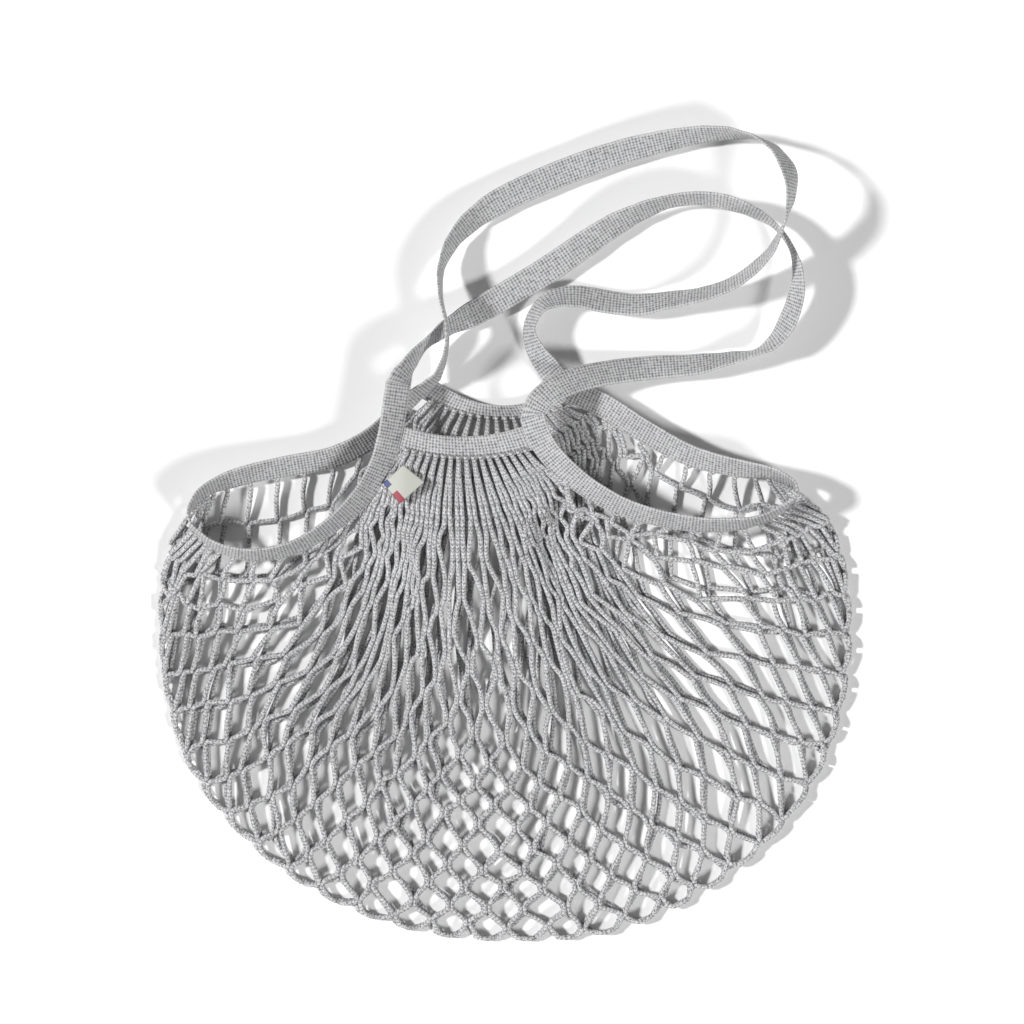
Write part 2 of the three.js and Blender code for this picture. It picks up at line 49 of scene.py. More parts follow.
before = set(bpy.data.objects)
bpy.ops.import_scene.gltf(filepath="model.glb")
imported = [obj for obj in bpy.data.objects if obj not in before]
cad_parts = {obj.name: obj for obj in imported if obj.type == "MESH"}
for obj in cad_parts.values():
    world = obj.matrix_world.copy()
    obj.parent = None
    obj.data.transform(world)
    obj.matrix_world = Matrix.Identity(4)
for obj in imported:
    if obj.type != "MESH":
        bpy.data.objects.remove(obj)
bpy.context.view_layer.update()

MM = 0.001
BODY = "root"
MERGE_DISTANCE = 1e-6

# The line across the necks, from which the fold's rows are measured.
NECK_LINE = 60 * MM

# The fold round the bottom of the pouch, from the left mouth corner to the right one: shares of half the
# net's width, and of its height below the neck line.
FOLD_ROWS = [
    {"x": -0.985, "y": 0.250},
    {"x": -1.000, "y": 0.370},
    {"x": -0.977, "y": 0.520},
    {"x": -0.908, "y": 0.660},
    {"x": -0.778, "y": 0.780},
    {"x": -0.605, "y": 0.880},
    {"x": -0.389, "y": 0.955},
    {"x": -0.159, "y": 0.994},
    {"x": 0.101, "y": 1.000},
    {"x": 0.308, "y": 0.984},
    {"x": 0.533, "y": 0.920},
    {"x": 0.735, "y": 0.820},
    {"x": 0.879, "y": 0.700},
    {"x": 0.965, "y": 0.560},
    {"x": 1.000, "y": 0.400},
    {"x": 0.980, "y": 0.240},
    {"x": 0.922, "y": 0.150},
]

# Where rows of meshes an even step apart meet a mouth tape: shares of its length from neck to mouth corner.
FRONT_TAPE_SHARES = np.array([0.0, 0.25, 0.55, 0.83, 0.93, 1.0])
BACK_TAPE_SHARES = np.array([0.0, 0.22, 0.57, 0.88, 0.95, 1.0])


def linear(hex_colour):
    """An sRGB hex colour as the linear colour that shaders take."""
    channels = []
    for start in (1, 3, 5):
        value = int(hex_colour[start : start + 2], 16) / 255
        channels.append(value / 12.92 if value <= 0.04045 else ((value + 0.055) / 1.055) ** 2.4)
    return (*channels, 1.0)


def colour(name, description, hex_colour):
    return bpy.props.FloatVectorProperty(
        name=name,
        description=description,
        default=linear(hex_colour),
        size=4,
        min=0,
        max=1,
        subtype="COLOR",
    )


def length(name, description, default):
    return bpy.props.FloatProperty(
        name=name, description=description, default=default, min=0, unit="LENGTH", precision=5
    )


def strength(name, description, default):
    return bpy.props.FloatProperty(name=name, description=description, default=default, min=0)


class StringBagNet(bpy.types.PropertyGroup):
    """Sizes and colours of the knotless net."""

    cord: length("Cord", "Thickness of one net cord", 3.2 * MM)
    stitch: length("Stitch", "Length of one chain stitch along a cord", 2.2 * MM)
    joined: bpy.props.FloatProperty(
        name="Joined",
        description="Share of the way between two rows over which meeting cords run side by side",
        default=0.3,
        min=0,
        max=1,
    )
    wander: length("Wander", "How far the meeting places stray from an even net", 1.2 * MM)
    margin: length("Margin", "From the last row of meeting places to the fold", 7.0 * MM)
    meshes: bpy.props.IntProperty(
        name="Meshes", description="Meshes across the first row under the gather", default=18, min=4
    )
    rows: bpy.props.IntProperty(
        name="Rows", description="Staggered rows of meshes from the gather to the fold", default=15, min=4
    )
    light: colour("Light yarn", "The crown of each stitch", "#e0e0e1")
    # This colour is painted shade: it fills the hollows between stitches.
    hollow_shade: colour("Shaded yarn", "The hollow between stitches", "#666669")


class StringBagTape(bpy.types.PropertyGroup):
    """Sizes and colours of the knitted tape."""

    thickness: length("Thickness", "Thickness of the tape between its ribs", 1.5 * MM)
    rib: length("Rib", "Distance from one cross rib to the next", 2.05 * MM)
    rib_height: length("Rib height", "How far a cross rib stands above the hollow beside it", 0.35 * MM)
    wale: length("Wale", "Distance from one lengthwise column of stitches to the next", 1.9 * MM)
    light: colour("Light yarn", "The crown of each rib", "#c3c3c4")
    # This colour is painted shade: it fills the hollows between ribs.
    hollow_shade: colour("Shaded yarn", "The hollow between ribs", "#646467")


class StringBagLabel(bpy.types.PropertyGroup):
    """Colours of the sewn label's satin and of its two woven blocks."""

    cloth: colour("Cloth", "The label's satin ground", "#b3b4ac")
    blue: colour("Blue block", "The woven block at its left corner", "#22326f")
    red: colour("Red block", "The woven block at its lower corner", "#94263a")


class StringBagStage(bpy.types.PropertyGroup):
    """The floor, camera and lights."""

    view_width: length("View width", "Width of floor that the camera sees", 0.6349)
    view_x: bpy.props.FloatProperty(
        name="View X", description="Middle of the view across the bag", default=0.0043, unit="LENGTH"
    )
    view_y: bpy.props.FloatProperty(
        name="View Y", description="Middle of the view along the bag", default=0.0154, unit="LENGTH"
    )
    height: length("Camera height", "Height of the camera over the floor", 3.0)
    floor: colour("Floor", "The pale floor", "#fbfbfb")
    key: strength("Key", "Strength of the main light", 3.3)
    fill: strength("Fill", "Strength of the second light", 1.95)
    sky: strength("Sky", "Strength of the light all round", 0.15)


class Path:
    """A smooth line through points, found by the distance along it."""

    def __init__(self, points):
        self.points = np.array(points, float)
        steps = np.linalg.norm(np.diff(self.points, axis=0), axis=1)
        self.distances = np.concatenate([[0.0], np.cumsum(steps)])
        self.length = float(self.distances[-1])

    def row(self, distance):
        return np.interp(distance, self.distances, np.arange(len(self.points)))

    def at(self, distance):
        return between_rows(self.points, self.row(np.atleast_1d(distance)))


def between_rows(values, row):
    """Values at fractional rows of a table, on a smooth curve through the rows."""
    last = len(values) - 1
    low = np.clip(np.floor(row).astype(int), 0, last - 1)
    share = (row - low)[:, None]
    before = values[np.maximum(low - 1, 0)]
    start = values[low]
    end = values[low + 1]
    after = values[np.minimum(low + 2, last)]
    bend = 2 * before - 5 * start + 4 * end - after
    twist = 3 * start - before - 3 * end + after
    return 0.5 * (2 * start + (end - before) * share + bend * share**2 + twist * share**3)


def unit(vectors):
    return vectors / np.maximum(np.linalg.norm(vectors, axis=-1, keepdims=True), 1e-12)


def smooth_share(value, low, high):
    share = np.clip((value - low) / (high - low), 0, 1)
    return share * share * (3 - 2 * share)


class Strip:
    """The sections of a CAD strip in order: the middles of its two edges, and the way its face points."""

    def __init__(self, near, far, face):
        self.near = near
        self.far = far
        self.face = face
        self.middle = Path((near + far) / 2)

    def reversed(self):
        return Strip(self.near[::-1], self.far[::-1], self.face[::-1])

    def swapped(self):
        return Strip(self.far, self.near, self.face)

    def section(self, distance):
        """The middle, the half width with its direction, and the face's direction at each distance."""
        row = self.middle.row(distance)
        near = between_rows(self.near, row)
        far = between_rows(self.far, row)
        return (near + far) / 2, (far - near) / 2, unit(between_rows(self.face, row))


def linked(verts):
    return {edge.other_vert(vert) for vert in verts for edge in vert.link_edges}


def read_strip(node):
    """Walks a CAD strip from one end to the other, ring by ring."""
    bm = bmesh.new()
    bm.from_mesh(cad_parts[node].data)
    bmesh.ops.remove_doubles(bm, verts=bm.verts, dist=MERGE_DISTANCE)
    bm.verts.index_update()
    edges_of_inner_corner = 6
    ends = {vert for vert in bm.verts if len(vert.link_edges) < edges_of_inner_corner}
    ring = {min(ends, key=lambda vert: vert.index)}
    while linked(ring) & ends - ring:
        ring |= linked(ring) & ends
    seen = set()
    near, far, face = [], [], []
    while ring:
        if len(ring) != 4:
            raise RuntimeError(f"{node} has a section of {len(ring)} corners where 4 were expected")
        corners = sorted(ring, key=lambda vert: vert.index)
        mate = min(corners[1:], key=lambda vert: (vert.co - corners[0].co).length)
        others = [vert for vert in corners[1:] if vert is not mate]
        one = np.array((corners[0].co + mate.co) / 2)
        two = np.array((others[0].co + others[1].co) / 2)
        out = np.array((corners[0].co - mate.co).normalized())
        if near and np.linalg.norm(one - near[-1]) > np.linalg.norm(two - near[-1]):
            one, two = two, one
        if face and np.dot(out, face[-1]) < 0:
            out = -out
        near.append(one)
        far.append(two)
        face.append(out)
        seen |= ring
        ring = linked(ring) - seen
    bm.free()
    return Strip(np.array(near), np.array(far), np.array(face))


def mouth_strip(node):
    """A mouth tape from its front end to its back end, with the net on its far side."""
    strip = read_strip(node)
    if strip.near[0][2] < strip.near[-1][2]:
        strip = strip.reversed()
    quarter = len(strip.near) // 4
    if strip.far[quarter][1] > strip.near[quarter][1]:
        strip = strip.swapped()
    return strip


def band_strip(node):
    """A neck band from left to right, with the net on its far side."""
    strip = read_strip(node)
    if strip.near[0][0] > strip.near[-1][0]:
        strip = strip.reversed()
    if strip.far[0][1] > strip.near[0][1]:
        strip = strip.swapped()
    return strip


class Layer:
    """One layer of the net as a smooth surface: u runs across it and the level from neck to fold."""

    # How many points the search along a tape, the net's edge on it and the fold are given.
    search_points = 400
    edge_points = 60
    fold_points = 300

    # How far short of the mouth corner the net stops, and the share of its width over which it closes there.
    corner_clearance = 6 * MM
    corner_share = 0.05

    # The last row's distance from the fold at the two sides, as a share of the distance in the middle.
    side_margin = 0.4

    # How far up a mouth tape holds the rows, and the shares of the width over which that grows and fades.
    left_hold = 0.18
    right_hold = 0.23
    hold_grows = 0.07
    hold_fades = (0.22, 0.5)

    # How far in from an even fan the cords below a mouth tape hang, the shares of the width over which that
    # begins, and the power that moves it down the net.
    left_hang = 21 * MM
    right_hang = 27 * MM
    hang_begins = (0.02, 0.2)
    hang_power = 1.5

    # How far the cords of the middle spread apart.
    spread = 8 * MM

    # The levels over which the front layer comes down from its tapes and the back one takes to following
    # it, the height over the foot of its CAD net that the front one comes down to, and its bulge over that.
    settling = (0.1, 0.45)
    front_lift = 0.9 * MM
    bulge = 1.5 * MM

    # The back layer's height over the floor, and the level at which it has come down to it.
    back_height = 2 * MM
    back_landing = 0.3

    # How far the back layer lies aside from the front one, the share of that which the middle takes, and the
    # share of the width over which it leaves its tape to follow the front layer.
    slip = np.array([4.5, -2.0, 0.0]) * MM
    middle_slip = 0.3
    follow_width = 0.14

    def __init__(self, is_front, tapes, band, margin, over=None):
        self.is_front = is_front
        self.shares = FRONT_TAPE_SHARES if is_front else BACK_TAPE_SHARES
        self.margin = margin
        self.over = over
        self.neck = Path(band.far)
        self.left = self.edge(tapes[0], band.far[0], np.argmin(tapes[0].middle.points[:, 0]))
        self.right = self.edge(tapes[1], band.far[-1], np.argmax(tapes[1].middle.points[:, 0]))
        self.fold = self.fold_path()

    def edge(self, tape, start, corner):
        """The net side of a tape from the band to the mouth corner."""
        points = tape.far[: corner + 1] if self.is_front else tape.far[corner:][::-1]
        path = Path(points)
        fine = np.linspace(0, path.length, self.search_points)
        begin = fine[np.argmin(np.linalg.norm(path.at(fine) - start, axis=1))]
        return Path(path.at(np.linspace(begin, path.length - self.corner_clearance, self.edge_points)))

    def fold_path(self):
        """The fold round the bottom of the pouch, on the floor, from the left corner to the right one."""
        low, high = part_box("net_back")
        half_width = (high.x - low.x) / 2
        middle = (high.x + low.x) / 2
        height = NECK_LINE - low.y
        left = self.left.points[-1] * (1, 1, 0)
        right = self.right.points[-1] * (1, 1, 0)
        points = [left]
        for row in FOLD_ROWS:
            points.append((middle + row["x"] * half_width, NECK_LINE - row["y"] * height, 0))
        points.append(right)
        rough = Path(points)
        return Path(rough.at(np.linspace(0, rough.length, self.fold_points)))

    def along_edge(self, path, held):
        """Where rows at these held levels meet a mouth tape."""
        share = between_rows(self.shares[:, None], held * (len(self.shares) - 1))[:, 0]
        return path.at(path.length * np.clip(share, 0, 1))

    def held_up(self, u, level):
        """Levels as a mouth tape holds them up, because the cords hang straight down beside it."""
        from_tape = np.minimum(u, 1 - u)
        grown = 1 - np.exp(-from_tape / self.hold_grows)
        beside = grown * (1 - smooth_share(from_tape, *self.hold_fades))
        hold = np.where(u < 0.5, self.left_hold, self.right_hold)
        return level - hold * np.sin(np.pi * level) ** 2 * beside

    def corner_fade(self, u):
        """Nothing at the two mouth corners and one a little way in from them."""
        return np.clip(u / self.corner_share, 0, 1) * np.clip((1 - u) / self.corner_share, 0, 1)

    def outline(self, u, inset):
        """Points on the fold's outline on the floor, moved in from it."""
        distance = self.fold.length * np.atleast_1d(u)
        step = 2 * MM
        ahead = self.fold.at(np.minimum(distance + step, self.fold.length))
        behind = self.fold.at(np.maximum(distance - step, 0))
        inward = unit(np.cross((0, 0, 1), ahead - behind))
        return self.fold.at(distance) + inward * np.reshape(inset, (-1, 1))

    def rim(self, u):
        """The last row of meeting places, which closes on the tapes at both corners."""
        inset = self.side_margin + (1 - self.side_margin) * np.sin(np.pi * u)
        at = self.outline(u, self.margin * self.corner_fade(u) * inset)
        at[:, 2] = self.left.points[-1][2] * (1 - u) + self.right.points[-1][2] * u
        return at

    def at(self, u, level):
        """Points of the layer at these shares of its width and these levels."""
        u = np.atleast_1d(np.asarray(u, float))
        level = np.atleast_1d(np.asarray(level, float))
        held = self.held_up(u, level)
        at = self.patch(u, held)
        beside = smooth_share(np.minimum(u, 1 - u), *self.hang_begins) * np.cos(np.pi * u)
        hang = np.where(u < 0.5, self.left_hang, self.right_hang)
        at[:, 0] += hang * beside * np.sin(np.pi * level**self.hang_power)
        at[:, 0] -= self.spread * np.sin(2 * np.pi * u) * np.sin(np.pi * level)
        if self.is_front:
            return self.front_settled(at, u, level, held)
        return self.back_settled(at, u, level, held)

    def patch(self, u, held):
        """A smooth patch between the neck, the two mouth tapes and the last row."""
        across, down = u[:, None], held[:, None]
        left, right = self.along_edge(self.left, held), self.along_edge(self.right, held)
        neck, rim = self.neck.at(self.neck.length * u), self.rim(u)
        neck_left, neck_right = self.neck.at(0.0), self.neck.at(self.neck.length)
        rim_left, rim_right = self.rim(np.array([0.0])), self.rim(np.array([1.0]))
        at = neck * (1 - down) + rim * down + left * (1 - across) + right * across
        at = at - neck_left * (1 - across) * (1 - down) - neck_right * across * (1 - down)
        return at - rim_left * (1 - across) * down - rim_right * across * down

    def front_settled(self, at, u, level, held):
        """The front layer comes down from its tapes to the fold, with a slight bulge."""
        fall = smooth_share(level, *self.settling) * self.corner_fade(u)
        rise = self.bulge * np.sin(np.pi * held) * np.sin(np.pi * u)
        at[:, 2] = at[:, 2] * (1 - fall) + self.rim_height() * fall + rise
        return at

    def back_settled(self, at, u, level, held):
        """The back layer follows the front one, a little aside from it, and drops to the floor."""
        from_tape = np.minimum(u, 1 - u)
        follow = smooth_share(held, *self.settling) * smooth_share(from_tape, 0.0, self.follow_width)
        aside = self.slip * (np.sin(np.pi * held) * (self.middle_slip + np.abs(u - 0.5)))[:, None]
        at = at + (self.over.at(u, level) + aside - at) * follow[:, None]
        fall = np.clip(held / self.back_landing, 0, 1) * self.corner_fade(u)
        at[:, 2] = at[:, 2] * (1 - fall) + self.back_height * fall
        return at

    def rim_height(self):
        """How high the front layer's last row lies."""
        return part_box("net_front")[0].z + self.front_lift


class Net:
    """The meeting places of the cords of one layer, and the cords that run through them."""

    # The level of the first row of meeting places, the levels of the points of a gathered rib above it, and
    # how far the first of them reaches into the neck band.
    first_level = 0.085
    rib_levels = np.linspace(-0.02, first_level, 5)[:-1]
    band_overlap = 2 * MM

    # The two ribs of a place lie this far to either side of it at the band, open by this much more down to
    # the first row, and lie this far above and below it at the band.
    rib_gap = 0.3 * MM
    rib_opening = 1.2 * MM
    rib_step = 1.0 * MM

    # How far a cord that starts at a tape reaches under it, lies below its edge, and has come out of it.
    tape_overlap = 2.5 * MM
    tape_depth = 0.6 * MM
    tape_exit = 1.0 * MM

    # The shares of half the width over which the joins turn towards the fold and shorten, and by how much.
    sides = (0.3, 0.8)
    side_turn = 0.5
    side_shortening = 0.65

    # The shares of half the width over which cords stray more towards the mouth corners, and how much more.
    corners = (0.7, 0.95)
    corner_stray = 0.8

    # At a meeting, the middle of each cord lies this share of its thickness aside, bows back by this share
    # of that, and is up to this far above or below. Its lower run is this share of its upper one.
    aside = 0.47
    bow = 0.1
    unevenness = 0.3 * MM
    lower_join = 0.9

    # Round the fold a cord takes these places: shares of a mesh beyond its last meeting place, and distances
    # in from the outline. The two cords of a place pass over and under each other about a middle height.
    fold_shares = np.array([0.26, 0.4, 0.52])
    fold_insets = np.array([2.6, 1.8, 1.6]) * MM
    fold_height = 3.6 * MM
    fold_step = 1.6 * MM

    def __init__(self, layer, sizes, seed):
        self.layer = layer
        self.sizes = sizes
        self.chance = random.Random(seed)
        self.places = []
        for row in range(sizes.rows + 1):
            u = self.shares(row)
            self.places.append(layer.at(u, np.full(len(u), self.level(row))))
        self.turns = [self.directions(row) for row in range(sizes.rows + 1)]

    def shares(self, row):
        """The shares of the width at which a row has its meeting places."""
        count = self.sizes.meshes + row
        return np.arange(count + 1) / count

    def level(self, row):
        return self.first_level + (1 - self.first_level) * row / self.sizes.rows

    def directions(self, row):
        """For each meeting place of a row: the way its joined cords run, the way across them, and up."""
        u = self.shares(row)
        level = self.level(row)
        step = 0.01
        full = np.ones(len(u))
        below_level, above_level = min(1.0, level + step), max(0.0, level - step)
        down = unit(self.layer.at(u, full * below_level) - self.layer.at(u, full * above_level))
        to_right = self.layer.at(np.minimum(u + step, 1), full * level)
        to_left = self.layer.at(np.maximum(u - step, 0), full * level)
        across = unit(to_right - to_left)
        up = unit(np.cross(across, -down))
        up *= np.sign(up[:, 2:3])
        if row < self.sizes.rows:
            below = self.places[row + 1]
            lower_left = unit(below[:-1] - self.places[row])
            lower_right = unit(below[1:] - self.places[row])
            down = unit(lower_left + lower_right)
            fold_way = np.where(u[:, None] < 0.5, lower_right, lower_left)
            pull = self.side_turn * smooth_share(np.abs(u - 0.5) * 2, *self.sides)[:, None]
            down = unit(down * (1 - pull) + fold_way * pull)
        side = unit(np.cross(down, up))
        side *= np.sign(np.sum(side * across, axis=1, keepdims=True))
        return down, side, up

    def stray(self, row, place):
        """How far a meeting place lies off the even net."""
        count = self.sizes.meshes + row
        if row == 0 or place in (0, count):
            return np.zeros(3)
        corner = smooth_share(abs(place / count - 0.5) * 2, *self.corners)
        reach = self.sizes.wander * (1 + self.corner_stray * corner)
        return np.array([self.chance.gauss(0, reach), self.chance.gauss(0, reach), 0.0])

    def cords(self):
        """Each cord as the points that it runs through, with the index where its first meeting begins."""
        strays = [
            [self.stray(row, place) for place in range(self.sizes.meshes + row + 1)]
            for row in range(self.sizes.rows + 1)
        ]
        cords = []
        for place in range(1, self.sizes.meshes):
            for side in (-1, 1):
                cords.append(self.cord(0, place, side, strays))
        for row in range(self.sizes.rows):
            cords.append(self.cord(row, 0, 1, strays))
            cords.append(self.cord(row, self.sizes.meshes + row, -1, strays))
        return cords

    def cord(self, row, place, side, strays):
        """One cord from its start to the fold, which changes sides at each row, and the same index.

        The index is 0 for a cord that starts at a tape.
        """
        on_tape = place in (0, self.sizes.meshes + row)
        if row == 0 and not on_tape:
            points = self.rib(place, side)
            first_meeting = len(points)
        else:
            points = self.tape_start(row, place)
            first_meeting = 0
        while row <= self.sizes.rows:
            if not on_tape:
                points += self.meeting(row, place, side, points[-1], strays[row][place])
            on_tape = False
            place = place + 1 if side > 0 else place
            side = -side
            row += 1
        return np.array(points), first_meeting

    def meeting(self, row, place, side, last, stray):
        """The points of a cord beside its neighbour, after a wavy run from its last point."""
        down, across, up = (turn[place] for turn in self.turns[row])
        apart = self.sizes.cord * self.aside
        lift = up * self.chance.uniform(-self.unevenness, self.unevenness)
        beside = self.places[row][place] + stray + across * side * apart + lift
        from_middle = abs(place / (self.sizes.meshes + row) - 0.5) * 2
        shortening = 1 - self.side_shortening * smooth_share(from_middle, *self.sides)
        half = self.leg(row) * self.sizes.joined / 2 * shortening
        points = []
        if row > 0:
            wave = self.chance.gauss(0, self.sizes.wander / 2)
            points.append((last + beside - down * half) / 2 + across * wave)
        points.append(beside - down * half)
        points.append(beside - across * side * apart * self.bow)
        if row == self.sizes.rows:
            points += self.round_fold(place, side)
        else:
            points.append(beside + down * half * self.lower_join)
        return points

    def leg(self, row):
        """The distance between the middles of two neighbouring rows."""
        row = min(row, self.sizes.rows - 1)
        middle = (self.sizes.meshes + row) // 2
        return np.linalg.norm(self.places[row + 1][middle] - self.places[row][middle])

    def rib(self, place, side):
        """The gathered start of a cord, from inside the neck band nearly to the first row."""
        u = np.array([place / self.sizes.meshes])
        down, across, up = (value[place] for value in self.turns[0])
        points = []
        for level in self.rib_levels:
            at = self.layer.at(u, np.array([max(level, 0.0)]))[0]
            if level < 0:
                at = at - down * self.band_overlap
            turn = smooth_share(level, 0.0, self.first_level)
            beside = across * side * (self.rib_gap + self.rib_opening * turn)
            points.append(at + beside + up * side * self.rib_step * (1 - turn))
        return points

    def tape_start(self, row, place):
        """Where a cord comes out from under the edge of a tape."""
        edge = self.places[row][place]
        down, across, up = (value[place] for value in self.turns[row])
        inward = across if place == 0 else -across
        under = edge - inward * self.tape_overlap - up * self.tape_depth
        return [under, edge + inward * self.tape_exit + down * self.tape_exit]

    def round_fold(self, place, side):
        """The end of a cord, which lies along the fold as it turns round it to the other layer."""
        last = self.sizes.meshes + self.sizes.rows
        above = side if self.layer.is_front else -side
        height = self.fold_height + self.fold_step * above
        shares = np.clip((place + side * self.fold_shares) / last, 0, 1)
        points = self.layer.outline(shares, self.fold_insets)
        own = self.layer.rim_height() if self.layer.is_front else self.layer.back_height
        points[:, 2] = [(own + height) / 2, height, height]
        return list(points)


def even_points(points, step):
    """Points an even step apart on a smooth curve through the given ones."""
    fine_steps = 24
    fewest_steps = 4
    rough = Path(points)
    fine_rows = np.linspace(0, len(points) - 1, len(points) * fine_steps)
    fine = Path(between_rows(rough.points, fine_rows))
    count = max(fewest_steps, round(fine.length / step))
    return fine.at(np.linspace(0, fine.length, count + 1))


def cord_piece(name, runs, sizes, material):
    """Cords swept as round tubes that swell at each stitch and are thinner in the gather, in one mesh."""
    samples_per_stitch = 2
    # Shares of the radius by which a cord swells at a stitch and is thinner in the gather, and the shares of
    # a rib's length over which it thickens again.
    swell = 0.04
    rib_thinning = 0.14
    rib_ends = (0.9, 1.2)
    step = sizes.stitch / samples_per_stitch
    data = bpy.data.curves.new(name, "CURVE")
    data.dimensions = "3D"
    data.twist_mode = "Z_UP"
    data.bevel_depth = sizes.cord / 2
    data.bevel_resolution = 1
    centres = []
    alongs = []
    for run, rib in runs:
        points = even_points(run, step)
        spline = data.splines.new("POLY")
        spline.points.add(len(points) - 1)
        spline.points.foreach_set("co", np.hstack([points, np.ones((len(points), 1))]).ravel())
        along = np.arange(len(points)) * step
        radius = 1 + swell * (np.cos(2 * math.pi * along / sizes.stitch) - 1) / 2
        if rib:
            begins, ends = rib * rib_ends[0], rib * rib_ends[1]
            radius -= rib_thinning * (1 - smooth_share(along, begins, ends))
        spline.points.foreach_set("radius", radius)
        centres.append(points)
        alongs.append(along)
    curve = bpy.data.objects.new(name, data)
    bpy.context.scene.collection.objects.link(curve)
    graph = bpy.context.evaluated_depsgraph_get()
    mesh = bpy.data.meshes.new_from_object(curve.evaluated_get(graph))
    bpy.data.objects.remove(curve)
    bpy.data.curves.remove(data)
    mark_cord(mesh, centres, alongs)
    close_ends(mesh)
    return finish_piece(name, mesh, material)


def close_ends(mesh):
    bm = bmesh.new()
    bm.from_mesh(mesh)
    rims = [edge for edge in bm.edges if edge.is_boundary]
    bmesh.ops.holes_fill(bm, edges=rims, sides=0)
    bmesh.ops.recalc_face_normals(bm, faces=bm.faces)
    bm.to_mesh(mesh)
    bm.free()


def mark_cord(mesh, centres, alongs):
    """Keeps each point's distance along its cord, and its place across and above the cord's middle."""
    count = sum(len(points) for points in centres)
    around = len(mesh.vertices) // count
    if around * count != len(mesh.vertices):
        raise RuntimeError(f"{mesh.name} has {len(mesh.vertices)} corners on {count} sections")
    middles = np.concatenate(centres)
    ways = np.concatenate([np.gradient(points, axis=0) for points in centres])
    side = unit(np.cross(ways, (0, 0, 1)))
    corners = np.zeros(len(mesh.vertices) * 3, np.float32)
    mesh.vertices.foreach_get("co", corners)
    offsets = unit(corners.reshape(count, around, 3) - middles[:, None, :])
    marks = np.zeros((count, around, 3), np.float32)
    marks[:, :, 0] = (np.concatenate(alongs) / MM)[:, None]
    marks[:, :, 1] = np.sum(offsets * side[:, None, :], axis=2)
    marks[:, :, 2] = offsets[:, :, 2]
    attribute = mesh.attributes.new("cord", "FLOAT_VECTOR", "POINT")
    attribute.data.foreach_set("vector", marks.ravel())


def finish_piece(name, mesh, material):
    """Puts a finished mesh in the scene with its material, smoothly shaded, riding on the bag."""
    mesh.name = name
    mesh.materials.clear()
    mesh.materials.append(material)
    mesh.shade_smooth()
    piece = bpy.data.objects.new(name, mesh)
    bpy.context.scene.collection.objects.link(piece)
    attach(piece, BODY)
    return piece


def tape_profile():
    """One section of a flat knitted tape, round at its edges: shares of the half width and half thickness."""
    columns = 9
    flat_share = 0.93
    edge_height = 0.75
    flat = np.linspace(-flat_share, flat_share, columns)
    height = np.ones(columns)
    height[[0, -1]] = edge_height
    across = np.concatenate([flat, [1.0], flat[::-1], [-1.0], flat[:1]])
    up = np.concatenate([height, [0.0], -height, [0.0], height[:1]])
    return across, up


def knitted_strip(name, strip, sizes, material, reach=0.5 * MM):
    """A ribbed knitted tape along a strip, a little longer than it at both ends."""
    samples_per_rib = 3
    edge_ripple = 0.012
    rows = round((strip.middle.length + 2 * reach) / sizes.rib * samples_per_rib)
    across, up = tape_profile()
    bm = bmesh.new()
    bmesh.ops.create_grid(bm, x_segments=rows, y_segments=len(across) - 1, size=1.0)
    grid = np.array([vert.co for vert in bm.verts])
    row = np.rint((grid[:, 0] + 1) / 2 * rows).astype(int)
    column = np.rint((grid[:, 1] + 1) / 2 * (len(across) - 1)).astype(int)
    distance = np.linspace(-reach, strip.middle.length + reach, rows + 1)
    middle, half, face = strip.section(np.clip(distance, 0, strip.middle.length))
    along = unit(np.gradient(middle, axis=0))
    middle = middle + along * (distance - np.clip(distance, 0, strip.middle.length))[:, None]
    ridge = np.cos(2 * math.pi * distance / sizes.rib)
    thickness = sizes.thickness / 2 + sizes.rib_height / 2 * (1 + ridge) / 2
    width = 1 + edge_ripple * ridge
    places = middle[row]
    places = places + half[row] * (across[column] * width[row])[:, None]
    places = places + face[row] * (up[column] * thickness[row])[:, None]
    knit = bm.verts.layers.float_vector.new("knit")
    half_width = np.linalg.norm(half, axis=1)
    for vert, place, on_row, on_column in zip(bm.verts, places, row, column):
        vert.co = place
        share = across[on_column]
        vert[knit] = (distance[on_row] / MM, share * half_width[on_row] / MM, share)
    bmesh.ops.remove_doubles(bm, verts=bm.verts, dist=MERGE_DISTANCE)
    rims = [edge for edge in bm.edges if edge.is_boundary]
    bmesh.ops.holes_fill(bm, edges=rims, sides=0)
    bmesh.ops.recalc_face_normals(bm, faces=bm.faces)
    mesh = bpy.data.meshes.new(name)
    bm.to_mesh(mesh)
    bm.free()
    return finish_piece(name, mesh, material)


def add_node(tree, kind, inputs=None, **settings):
    """Adds a node. An input is a value, the output that feeds it, or a node whose first output does."""
    node = tree.nodes.new(kind)
    for name, value in settings.items():
        setattr(node, name, value)
    for name, value in (inputs or {}).items():
        if isinstance(value, bpy.types.Node):
            value = value.outputs[0]
        if isinstance(value, bpy.types.NodeSocket):
            tree.links.new(value, node.inputs[name])
        else:
            node.inputs[name].default_value = value
    return node


def new_material(name):
    """An empty material and its node tree."""
    material = bpy.data.materials.new(name)
    material.use_nodes = True
    material.node_tree.nodes.clear()
    return material, material.node_tree


# The sockets of a Mix node that mixes colours: its share and the two colours, and the output.
MIX_SHARE, MIX_LOW, MIX_HIGH, MIX_RESULT = 0, 6, 7, 2


